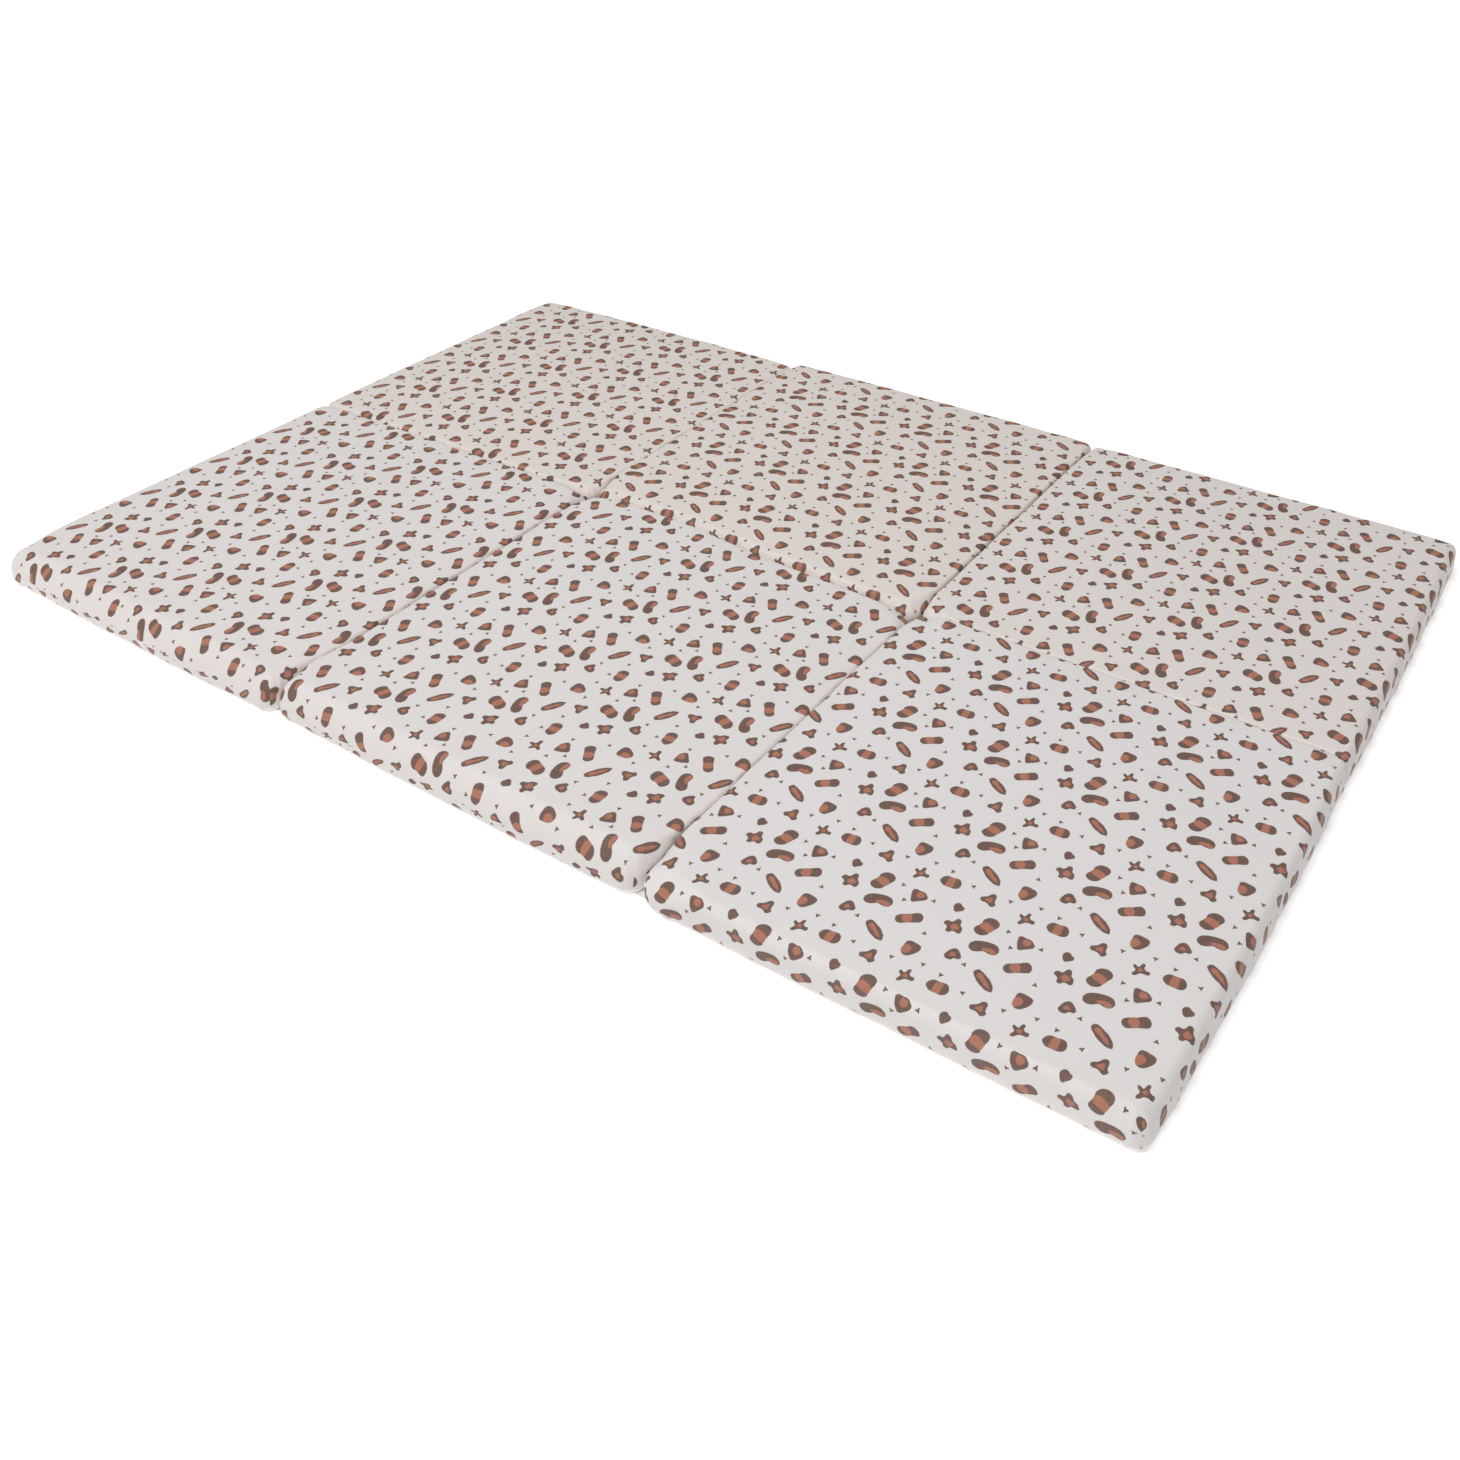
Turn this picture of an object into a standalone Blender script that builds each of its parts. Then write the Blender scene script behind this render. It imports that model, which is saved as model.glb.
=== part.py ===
"""Folding baby play mat, lying open: six foam-filled panels and the cloth hinges that join them.

Frame: metres, +Z up. The origin is on the floor under the middle of the open mat. +X runs along
the long side, three panels, and +Y along the short side, two panels, from the front row to the back.
"""

import math

import bmesh
import bpy

# Driving sizes
PANEL_PITCH = 0.600        # from seam to seam, the same both ways
COLUMNS = 3
ROWS = 2
SEAM_GAP = 0.0006          # between two covers that lie against each other
EDGE_HEIGHT = 0.048        # foam and cover at the rim of a panel
CROWN = 0.0040             # how far the middle of a panel swells above its rim
BOTTOM_ROUND = 0.012       # radius under the rim
CORNER_ROUND = 0.018       # radius of a panel's corner, seen from above
CORNER_SINK = 0.0025       # how far the cover pulls each top corner down
HINGE_THICKNESS = 0.002    # doubled cloth
HINGE_END_GAP = 0.008      # a hinge stops this far from the end of its seam
HINGE_TUCK = 0.0006        # how far a hinge's edges reach in under the smoothed rims

# Cage of one panel: stations from -1 to 1 across, along and up, before it is smoothed
RIM_STATION = 0.95         # inside this the top is open field, outside it the rim turns down
FIELD_STATIONS = (-0.57, -0.19, 0.19, 0.57)
SIDE_STATION = 0.4
ROUND_PULL = 0.2           # share of the radius that a rim point gives up, for a round rim
SMOOTH_LEVELS = 1

# How far the seam between the two rows lies behind the grid, at the left and right end of each column
ROW_SEAM_SHIFT = ((0.012, 0.016), (0.024, -0.005), (0.003, 0.000))

# One row for each panel. Front, right, back and left are the radii of the top rim. The outer edge
# is the long outside one: its reach past the grid at the left and right end, and its bow. The side
# edge is the short outside one: its reach, and how much further its foot leans out.
PANEL_COLUMNS = ("name", "column", "row", "lift", "front", "right", "back", "left",
                 "outer_left", "outer_right", "outer_bow", "side_reach", "side_lean")
PANEL_ROWS = (
    ("panel_front_left", 0, 0, 0.000, 0.026, 0.010, 0.008, 0.014, 0.004, 0.008, 0.003, 0.005, 0.000),
    ("panel_front_middle", 1, 0, 0.000, 0.024, 0.010, 0.010, 0.010, 0.006, 0.008, 0.002, 0.000, 0.000),
    ("panel_front_right", 2, 0, 0.003, 0.013, 0.011, 0.006, 0.010, 0.013, 0.013, 0.000, -0.015, 0.010),
    ("panel_back_left", 0, 1, 0.000, 0.010, 0.010, 0.012, 0.012, 0.000, 0.000, 0.004, 0.005, 0.000),
    ("panel_back_middle", 1, 1, 0.003, 0.014, 0.010, 0.012, 0.010, 0.010, 0.003, 0.000, 0.000, 0.000),
    ("panel_back_right", 2, 1, 0.002, 0.006, 0.011, 0.012, 0.010, 0.002, -0.004, -0.002, -0.015, 0.010),
)

COVER_COLOUR = (0.80, 0.78, 0.74)
HINGE_COLOUR = (0.78, 0.76, 0.72)


def clear_scene():
    for item in list(bpy.data.objects):
        bpy.data.objects.remove(item, do_unlink=True)


def cloth_material(name, colour, roughness):
    material = bpy.data.materials.new(name)
    material.use_nodes = True
    shader = material.node_tree.nodes["Principled BSDF"]
    shader.inputs["Base Color"].default_value = (*colour, 1.0)
    shader.inputs["Roughness"].default_value = roughness
    shader.inputs["Metallic"].default_value = 0.0
    return material


def panel_table():
    """The panels as dictionaries, one value for each named column."""
    return [dict(zip(PANEL_COLUMNS, row)) for row in PANEL_ROWS]


def panel_centre(column, row):
    """Where a panel's middle stands on the floor."""
    x = (column - (COLUMNS - 1) / 2) * PANEL_PITCH
    y = (row - (ROWS - 1) / 2) * PANEL_PITCH
    return x, y


def blend(left, right, station):
    """From the left value at station -1 to the right value at station 1."""
    return left + (right - left) * (1 + station) / 2


def across(station, low_round, high_round):
    """Place of a station across a panel whose rims turn down over the two given widths."""
    half = (PANEL_PITCH - SEAM_GAP) / 2
    low_edge = low_round - half
    high_edge = half - high_round
    if station <= -RIM_STATION:
        return -half + low_round * (1 + station) / (1 - RIM_STATION)
    if station >= RIM_STATION:
        return half - high_round * (1 - station) / (1 - RIM_STATION)
    return blend(low_edge, high_edge, station / RIM_STATION)


def edge_shift(s, t, h, panel):
    """How far the seam's line and the outside edges carry a cage point along x and y."""
    outward = 1 if panel["row"] else -1
    toward_outer = (1 + outward * t) / 2
    outer = blend(panel["outer_left"], panel["outer_right"], s) + panel["outer_bow"] * (1 - s * s)
    seam = blend(*ROW_SEAM_SHIFT[panel["column"]], s)
    y = outward * toward_outer * outer + (1 - toward_outer) * seam

    side = panel["column"] - (COLUMNS - 1) // 2
    toward_side = (1 + side * s) / 2
    x = side * toward_side * panel["side_reach"]
    at_foot = h < 0 and toward_side > (1 + RIM_STATION) / 2
    if side and at_foot:
        x += side * panel["side_lean"]
    return x, y


def panel_point(s, t, h, panel):
    """Turn a cage point's stations into its place on one panel, about the panel's own middle."""
    on_top = h > 0
    at_side = abs(s) > RIM_STATION
    at_end = abs(t) > RIM_STATION
    at_face = abs(h) > SIDE_STATION

    rims = {side: panel[side] if on_top else BOTTOM_ROUND for side in ("front", "right", "back", "left")}
    # A point on a wall keeps the plan corner's radius, a point on the top or bottom the rim's
    x_rounds = (CORNER_ROUND, CORNER_ROUND) if at_end else (rims["left"], rims["right"])
    y_rounds = (CORNER_ROUND, CORNER_ROUND) if at_side else (rims["front"], rims["back"])
    x = across(s, *x_rounds)
    y = across(t, *y_rounds)

    rim_height = EDGE_HEIGHT + panel["lift"]
    side_rim = rims["right"] if s > 0 else rims["left"]
    end_rim = rims["back"] if t > 0 else rims["front"]
    top_drop = max(BOTTOM_ROUND, side_rim if at_side else 0, end_rim if at_end else 0)
    z = rim_height if on_top else 0.0
    if not at_face:
        z = rim_height - top_drop if on_top else BOTTOM_ROUND

    # Pull rim points in, so that the smoothed rim comes out round and not sharp
    if at_face and at_side:
        x -= math.copysign(ROUND_PULL * side_rim, s)
    if at_face and at_end:
        y -= math.copysign(ROUND_PULL * end_rim, t)
    if at_face and (at_side or at_end):
        z += -ROUND_PULL * top_drop if on_top else ROUND_PULL * BOTTOM_ROUND
    if at_side and at_end:
        x -= math.copysign(ROUND_PULL * CORNER_ROUND, s)
        y -= math.copysign(ROUND_PULL * CORNER_ROUND, t)

    # Crown of the filling, corners drawn down by the cover
    if on_top and at_face:
        z += CROWN * (1 - abs(s) ** 2.5) * (1 - abs(t) ** 2.5)
        z -= CORNER_SINK * (abs(s) * abs(t)) ** 6

    shift_x, shift_y = edge_shift(s, t, h, panel)
    return x + shift_x, y + shift_y, z


def cage_mesh(name):
    """A cube cut at every station, so that each of its points can be placed on its own."""
    cage = bmesh.new()
    bmesh.ops.create_cube(cage, size=2.0)
    plan = (-RIM_STATION, *FIELD_STATIONS, RIM_STATION)
    cuts = [((1, 0, 0), plan), ((0, 1, 0), plan), ((0, 0, 1), (-SIDE_STATION, SIDE_STATION))]
    for normal, stations in cuts:
        for station in stations:
            geometry = cage.verts[:] + cage.edges[:] + cage.faces[:]
            point = [station * part for part in normal]
            bmesh.ops.bisect_plane(cage, geom=geometry, plane_co=point, plane_no=normal)
    mesh = bpy.data.meshes.new(name)
    cage.to_mesh(mesh)
    cage.free()
    return mesh


def add_panel(panel, collection, material):
    """One panel: foam in its cover, a filled solid with a crown and round rims."""
    mesh = cage_mesh(panel["name"])
    for vertex in mesh.vertices:
        vertex.co = panel_point(*vertex.co, panel)
    mesh.materials.append(material)
    body = bpy.data.objects.new(panel["name"], mesh)
    body.location = (*panel_centre(panel["column"], panel["row"]), 0.0)
    collection.objects.link(body)
    smooth = body.modifiers.new("smooth", "SUBSURF")
    smooth.levels = SMOOTH_LEVELS
    smooth.render_levels = SMOOTH_LEVELS
    mesh.shade_smooth()
    return body


def hinge_half_width():
    """Half the room between two round rims at the height of the hinge's upper face, and the tuck."""
    left = BOTTOM_ROUND - HINGE_THICKNESS
    return BOTTOM_ROUND - math.sqrt(BOTTOM_ROUND ** 2 - left ** 2) + HINGE_TUCK


def add_hinge(name, start, end, collection, material):
    """A flat strip of doubled cloth on the floor, along the seam that runs from start to end."""
    run_x = end[0] - start[0]
    run_y = end[1] - start[1]
    middle = ((start[0] + end[0]) / 2, (start[1] + end[1]) / 2, HINGE_THICKNESS / 2)
    size = (math.hypot(run_x, run_y) - 2 * HINGE_END_GAP, 2 * hinge_half_width(), HINGE_THICKNESS)
    bpy.ops.mesh.primitive_cube_add(size=1.0, location=middle)
    strip = bpy.context.object
    strip.name = name
    strip.data.name = name
    for vertex in strip.data.vertices:
        vertex.co = [value * part for value, part in zip(vertex.co, size)]
    strip.rotation_euler.z = math.atan2(run_y, run_x)
    strip.data.materials.append(material)
    for owner in list(strip.users_collection):
        owner.objects.unlink(strip)
    collection.objects.link(strip)
    return strip


def add_hinges(collection, material):
    """Four hinges between neighbours in a row, three between the two rows."""
    for seam in range(1, COLUMNS):
        x = (seam - COLUMNS / 2) * PANEL_PITCH
        crossing = (ROW_SEAM_SHIFT[seam - 1][1] + ROW_SEAM_SHIFT[seam][0]) / 2
        add_hinge(f"hinge_front_{seam}", (x, -PANEL_PITCH), (x, crossing), collection, material)
        add_hinge(f"hinge_back_{seam}", (x, crossing), (x, PANEL_PITCH), collection, material)
    for column, column_name in enumerate(("left", "middle", "right")):
        x = panel_centre(column, 0)[0]
        start = (x - PANEL_PITCH / 2, ROW_SEAM_SHIFT[column][0])
        end = (x + PANEL_PITCH / 2, ROW_SEAM_SHIFT[column][1])
        add_hinge(f"hinge_between_rows_{column_name}", start, end, collection, material)


def centre_on_origin(collection):
    """Move every piece so that the origin is on the floor, under the middle of the mat's box."""
    bpy.context.view_layer.update()
    graph = bpy.context.evaluated_depsgraph_get()
    points = []
    for item in collection.objects:
        solid = item.evaluated_get(graph)
        points += [solid.matrix_world @ vertex.co for vertex in solid.data.vertices]
    for axis in (0, 1):
        middle = (min(point[axis] for point in points) + max(point[axis] for point in points)) / 2
        for item in collection.objects:
            item.location[axis] -= middle


def build_mat():
    clear_scene()
    collection = bpy.data.collections.new("play_mat")
    bpy.context.scene.collection.children.link(collection)
    cover = cloth_material("cover_cloth", COVER_COLOUR, 0.62)
    hinge = cloth_material("hinge_cloth", HINGE_COLOUR, 0.75)
    for panel in panel_table():
        add_panel(panel, collection, cover)
    add_hinges(collection, hinge)
    centre_on_origin(collection)


build_mat()
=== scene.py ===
import math

import bpy
import numpy as np
from mathutils import Euler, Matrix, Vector, noise


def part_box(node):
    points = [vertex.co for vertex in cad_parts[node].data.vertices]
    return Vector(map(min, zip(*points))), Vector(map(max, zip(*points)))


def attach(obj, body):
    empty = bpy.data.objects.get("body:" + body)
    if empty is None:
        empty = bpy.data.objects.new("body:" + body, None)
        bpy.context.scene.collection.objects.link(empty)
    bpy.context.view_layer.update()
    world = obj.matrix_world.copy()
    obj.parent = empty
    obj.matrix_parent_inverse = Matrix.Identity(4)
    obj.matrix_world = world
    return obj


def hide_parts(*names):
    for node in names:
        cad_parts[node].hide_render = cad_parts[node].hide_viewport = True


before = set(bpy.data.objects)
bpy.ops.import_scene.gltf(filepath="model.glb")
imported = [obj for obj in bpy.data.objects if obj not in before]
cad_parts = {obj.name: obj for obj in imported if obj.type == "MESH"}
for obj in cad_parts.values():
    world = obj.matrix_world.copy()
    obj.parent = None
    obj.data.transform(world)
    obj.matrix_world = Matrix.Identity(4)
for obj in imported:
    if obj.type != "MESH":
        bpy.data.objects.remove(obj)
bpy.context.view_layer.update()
print("frame loaded:", len(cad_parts), "solids")

mm = 0.001


def middleOf(node):
    low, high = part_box(node)
    return (low + high) / 2


# The mat's own grid, read off the hinges of the frame: three panels wide, two deep
hingeEndGap = 8 * mm         # a hinge stops this far from the end of its seam
coverGap = 1.6 * mm          # the groove between two covers that lie against each other
firstSeam, secondSeam = middleOf("hinge_front_1").x, middleOf("hinge_front_2").x
panelPitch = secondSeam - firstSeam
columnLines = [firstSeam - panelPitch, firstSeam, secondSeam, secondSeam + panelPitch]
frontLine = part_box("hinge_front_1")[0].y - hingeEndGap
rowLines = [frontLine, frontLine + panelPitch, frontLine + 2 * panelPitch]


# Shader helpers

def newMaterial(name):
    material = bpy.data.materials.new(name)
    material.use_nodes = True
    tree = material.node_tree
    return material, tree, tree.nodes["Principled BSDF"]


def addNode(tree, kind, inputs=None, **settings):
    node = tree.nodes.new(kind)
    for name, value in settings.items():
        setattr(node, name, value)
    for key, value in (inputs or {}).items():
        if isinstance(value, bpy.types.NodeSocket):
            tree.links.new(value, node.inputs[key])
        else:
            node.inputs[key].default_value = value
    return node


def calc(tree, operation, *values, clamp=False):
    node = addNode(tree, "ShaderNodeMath", dict(enumerate(values)), operation=operation, use_clamp=clamp)
    return node.outputs[0]


def vectorCalc(tree, operation, *values):
    node = addNode(tree, "ShaderNodeVectorMath", dict(enumerate(values)), operation=operation)
    return node.outputs["Value"] if operation == "LENGTH" else node.outputs["Vector"]


def mixColour(tree, share, first, second):
    node = addNode(tree, "ShaderNodeMix", data_type="RGBA")
    for key, value in ((0, share), (6, first), (7, second)):
        if isinstance(value, bpy.types.NodeSocket):
            tree.links.new(value, node.inputs[key])
        else:
            node.inputs[key].default_value = value
    return node.outputs[2]


def newGroup(name, inputs, outputs):
    tree = bpy.data.node_groups.new(name, "ShaderNodeTree")
    for label, kind in inputs:
        tree.interface.new_socket(label, in_out="INPUT", socket_type=kind)
    for label, kind in outputs:
        tree.interface.new_socket(label, in_out="OUTPUT", socket_type=kind)
    return tree, tree.nodes.new("NodeGroupInput").outputs, tree.nodes.new("NodeGroupOutput").inputs


def useGroup(tree, group, inputs):
    node = tree.nodes.new("ShaderNodeGroup")
    node.node_tree = group
    for key, value in inputs.items():
        if isinstance(value, bpy.types.NodeSocket):
            tree.links.new(value, node.inputs[key])
        else:
            node.inputs[key].default_value = value
    return node.outputs


# The print: spots of two inks in a half drop repeat. Each spot is an outline round its own middle,
# radii in mm at equal steps, counterclockwise from the right; "patch" is its terracotta part.
printChart = {
    "repeatWide": 128.0,
    "repeatHigh": 130.0,
    "edgeSoft": 0.8,
    "darkSpread": 0.9,       # how far the inks bled past their outlines, as a share of edgeSoft
    "patchSpread": -0.2,
    "curveTop": 18.0,
    "spots": [
        {"at": (-46, 49), "turn": 14,
         "dark": (15, 14, 11.5, 9.5, 8.8, 9.4, 11.2, 14, 15.5, 13.5, 8, 4, 3, 3.6, 7, 13),
         "patchAt": (5, -1), "patch": (8, 4.6, 3.4, 3, 3.4, 5, 7.5, 4, 2.6, 2.6, 4.4, 8.4)},
        {"at": (-5, 44), "turn": -58,
         "dark": (5.5, 6, 8.5, 13, 14, 13.4, 9.4, 6.2, 5.4, 6, 8, 12, 13.6, 12.6, 8.6, 6),
         "patchAt": (0, -1.5), "patch": (6.4, 6, 5, 5.2, 5.6, 6.4, 6.8, 6.6, 7, 6.4, 6, 6.2)},
        {"at": (40, 58), "turn": 20,
         "dark": (8.6, 7, 9.4, 11.4, 7.6, 6.2, 9.8, 10.8, 7, 6.4, 9.2, 8.6, 5.8, 7, 10.8, 9.6),
         "patchAt": (1, -0.6), "patch": (5.6, 4.4, 4.2, 5, 4.2, 4, 4.6, 3.8, 4.4, 4.8, 4.4, 5.2)},
        {"at": (-25, 12), "turn": -32,
         "dark": (16, 11, 7.2, 5.8, 5.4, 5.6, 7, 11.2, 15.4, 11.6, 7.4, 6, 5.4, 5.8, 7, 11),
         "patchAt": (1, 0), "patch": (12, 4.4, 2.4, 2, 2.4, 5, 12.5, 4.6, 2.6, 2.2, 2.6, 4.8)},
        {"at": (19, 9), "turn": -6,
         "dark": (8.4, 9.6, 10.6, 9.6, 8.8, 9.4, 10.2, 8.6, 7.2, 7, 8, 9.2, 10, 9.4, 8.2, 7.8),
         "patchAt": (-2.2, -2), "patch": (4.6, 4.6, 5, 5.4, 6.2, 6, 5.8, 5.8, 7, 7.4, 5.4, 4.6)},
        {"at": (60, 25), "turn": 10,
         "dark": (8.2, 7, 6.8, 7.6, 8.4, 7.8, 7, 6.6, 7.2, 8.4, 8.2, 7, 6, 4, 4.6, 7.6),
         "patchAt": (-0.6, 0.2), "patch": (3.8, 3, 3, 3.4, 3.2, 3, 3.4, 3.6, 3.2, 2.6, 2.4, 3)},
        {"at": (-58, -19), "turn": 8,
         "dark": (11, 10.5, 9.5, 7.5, 6.6, 7.6, 9.8, 11, 11.5, 10, 8.6, 7, 6.6, 7.6, 9.8, 11.2),
         "patchAt": (-0.5, 0), "patch": (4.6, 5.4, 7.6, 7.4, 6.6, 4.8, 4, 4.8, 7.2, 7.4, 7.6, 5.4)},
        {"at": (-10, -20), "turn": -10,
         "dark": (6.2, 5.2, 5.8, 7.8, 9.4, 8.2, 5.8, 5.4, 7.4, 9.6, 8.4, 5.2, 4.6, 5.6, 8.8, 9),
         "patchAt": (0, 0), "patch": (3.4, 3, 3.4, 4.6, 3.6, 3, 3.6, 5, 3.6, 2.8, 3.8, 4.2)},
        {"at": (35, -24), "turn": 18,
         "dark": (8.6, 4.4, 5, 9.4, 5.4, 3.8, 8.4, 6.2, 3.8, 4.8, 9.2, 6.6, 3.8, 3.8, 5.2, 9.8),
         "patchAt": (0.4, 0.3), "patch": (3.2, 2.4, 3, 2.4, 2.8, 2.4, 3.2, 2.4, 2.6, 2.4, 3, 2.4)},
        {"at": (-33, -47), "turn": -15,
         "dark": (5.6, 6.2, 6, 4.6, 5, 6, 6.2, 5.8, 5.2, 4.6, 4.2, 4.6, 5.4, 5.6, 4.6, 4.8)},
        {"at": (6, -54), "turn": -16,
         "dark": (7, 8.2, 11.4, 13.4, 13.4, 12.6, 11, 9, 7, 7.6, 11.4, 13.8, 13.6, 12, 9.8, 7.4),
         "patchAt": (0.4, -0.4), "patch": (8, 7.6, 5.8, 5.2, 5.8, 7.4, 8, 7.8, 5.8, 5, 5.6, 7.8)},
        {"at": (50, -54), "turn": 30,
         "dark": (8.6, 8.2, 7.6, 7.2, 8.6, 10.4, 8.4, 7.2, 7, 7.6, 9.6, 8.2, 6.8, 7, 8.4, 10),
         "patchAt": (1.6, 1.2), "patch": (5.4, 5, 4.4, 5.2, 4.4, 3.8, 3.6, 3.6, 4, 4.2, 4.6, 5.6)},
    ],
    "specks": [(-24, 64, 10), (20, 34, 100), (-52, 20, 200), (42, -2, 40), (-34, -12, 300),
               (10, -10, 160), (-60, -52, 80), (28, -48, 250), (64, -4, 20)],   # x, y, turn
    "speckSize": 2.1,
    "speckLobe": 0.8,
}


def placeGroup():
    # A place on the cloth, seen from the nearest repeat of one spot
    wide, high = printChart["repeatWide"], printChart["repeatHigh"]
    tree, given, out = newGroup("spotPlace", [("Cloth", "NodeSocketVector"), ("Middle", "NodeSocketVector"),
                                              ("Turn", "NodeSocketFloat")], [("Place", "NodeSocketVector")])
    away = vectorCalc(tree, "SUBTRACT", given["Cloth"], given["Middle"])
    parts = addNode(tree, "ShaderNodeSeparateXYZ", {0: away}).outputs
    rows = calc(tree, "ROUND", calc(tree, "DIVIDE", parts["Y"], high))
    y = calc(tree, "MULTIPLY_ADD", rows, -high, parts["Y"])
    x = calc(tree, "MULTIPLY_ADD", rows, -wide / 2, parts["X"])
    columns = calc(tree, "ROUND", calc(tree, "DIVIDE", x, wide))
    x = calc(tree, "MULTIPLY_ADD", columns, -wide, x)
    flat = addNode(tree, "ShaderNodeCombineXYZ", {"X": x, "Y": y})
    turned = addNode(tree, "ShaderNodeVectorRotate", {"Vector": flat.outputs[0], "Angle": given["Turn"]},
                     rotation_type="Z_AXIS", invert=True)
    tree.links.new(turned.outputs[0], out["Place"])
    return tree


def polarGroup():
    # Direction as a share of a full turn, and distance, about a middle
    tree, given, out = newGroup("spotPolar", [("Place", "NodeSocketVector"), ("Middle", "NodeSocketVector")],
                                [("Share", "NodeSocketFloat"), ("Distance", "NodeSocketFloat")])
    away = vectorCalc(tree, "SUBTRACT", given["Place"], given["Middle"])
    parts = addNode(tree, "ShaderNodeSeparateXYZ", {0: away}).outputs
    angle = calc(tree, "ARCTAN2", parts["Y"], parts["X"])
    share = calc(tree, "FRACT", calc(tree, "MULTIPLY_ADD", angle, 1 / math.tau, 1.0))
    tree.links.new(share, out["Share"])
    tree.links.new(vectorCalc(tree, "LENGTH", away), out["Distance"])
    return tree


def outlineMask(tree, polar, radii, spread):
    top = printChart["curveTop"]
    curve = addNode(tree, "ShaderNodeFloatCurve", {"Value": polar["Share"]})
    points = curve.mapping.curves[0].points
    points[0].location = (0.0, radii[0] / top)
    points[1].location = (1.0, radii[0] / top)
    for step, radius in enumerate(radii[1:], 1):
        points.new(step / len(radii), radius / top)
    curve.mapping.update()
    inward = calc(tree, "MULTIPLY", polar["Distance"], -1.0)
    inside = calc(tree, "MULTIPLY_ADD", curve.outputs[0], top, inward)
    bleed = 0.5 + printChart[spread]
    return calc(tree, "MULTIPLY_ADD", inside, 1 / printChart["edgeSoft"], bleed, clamp=True)


def printMasks(tree, cloth):
    # Shares of dark and terracotta ink at a place on the cloth, given in mm
    place, polar = placeGroup(), polarGroup()
    dark = terracotta = 0.0
    for spot in printChart["spots"]:
        local = useGroup(tree, place, {"Cloth": cloth, "Middle": (*spot["at"], 0.0),
                                       "Turn": math.radians(spot["turn"])})["Place"]
        outline = useGroup(tree, polar, {"Place": local})
        dark = calc(tree, "MAXIMUM", outlineMask(tree, outline, spot["dark"], "darkSpread"), dark)
        if "patch" in spot:
            outline = useGroup(tree, polar, {"Place": local, "Middle": (*spot["patchAt"], 0.0)})
            mask = outlineMask(tree, outline, spot["patch"], "patchSpread")
            terracotta = calc(tree, "MAXIMUM", mask, terracotta)
    for x, y, turn in printChart["specks"]:
        local = useGroup(tree, place, {"Cloth": cloth, "Middle": (x, y, 0.0), "Turn": math.radians(turn)})
        outline = useGroup(tree, polar, {"Place": local["Place"]})
        lobes = calc(tree, "COSINE", calc(tree, "MULTIPLY", outline["Share"], 3 * math.tau))
        rim = calc(tree, "MULTIPLY_ADD", lobes, printChart["speckLobe"], printChart["speckSize"])
        inside = calc(tree, "SUBTRACT", rim, outline["Distance"])
        mask = calc(tree, "MULTIPLY_ADD", inside, 1 / printChart["edgeSoft"], 0.5, clamp=True)
        dark = calc(tree, "MAXIMUM", mask, dark)
    return dark, terracotta


coverLook = {
    "ground": (0.83, 0.805, 0.797, 1),
    "groundWarm": (0.83, 0.762, 0.717, 1),   # where the cloth has been handled and has aged
    "darkInk": (0.183, 0.107, 0.082, 1),
    "terracottaInk": (0.48, 0.20, 0.128, 1),
    "inkSpread": 0.14,                       # how unevenly the inks took
    "roughness": 0.58,
    "inkRoughness": 0.66,
    "specular": 0.35,
    "sheen": 0.12,
    "sheenRoughness": 0.45,
    "patchiness": 0.3,                       # of the ground cloth's warmth
    "weavePitch": 0.8,                       # mm from thread to thread
    "weaveHeight": 0.05 * mm,
    "slubHeight": 0.12 * mm,
    "creaseHeight": 0.5 * mm,
}


def weaveHeight(tree, cloth, pitch):
    # Plain weave: warp and weft threads take turns to lie on top
    parts = addNode(tree, "ShaderNodeSeparateXYZ", {0: cloth}).outputs
    warp = calc(tree, "SINE", calc(tree, "MULTIPLY", parts["X"], math.pi / pitch))
    weft = calc(tree, "SINE", calc(tree, "MULTIPLY", parts["Y"], math.pi / pitch))
    return calc(tree, "ABSOLUTE", calc(tree, "MULTIPLY", warp, weft))


def stackBumps(tree, shader, layers):
    normal = None
    for height, distance, strength in layers:
        bump = addNode(tree, "ShaderNodeBump", {"Strength": strength, "Distance": distance, "Height": height})
        if normal is not None:
            tree.links.new(normal, bump.inputs["Normal"])
        normal = bump.outputs["Normal"]
    tree.links.new(normal, shader.inputs["Normal"])


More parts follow.
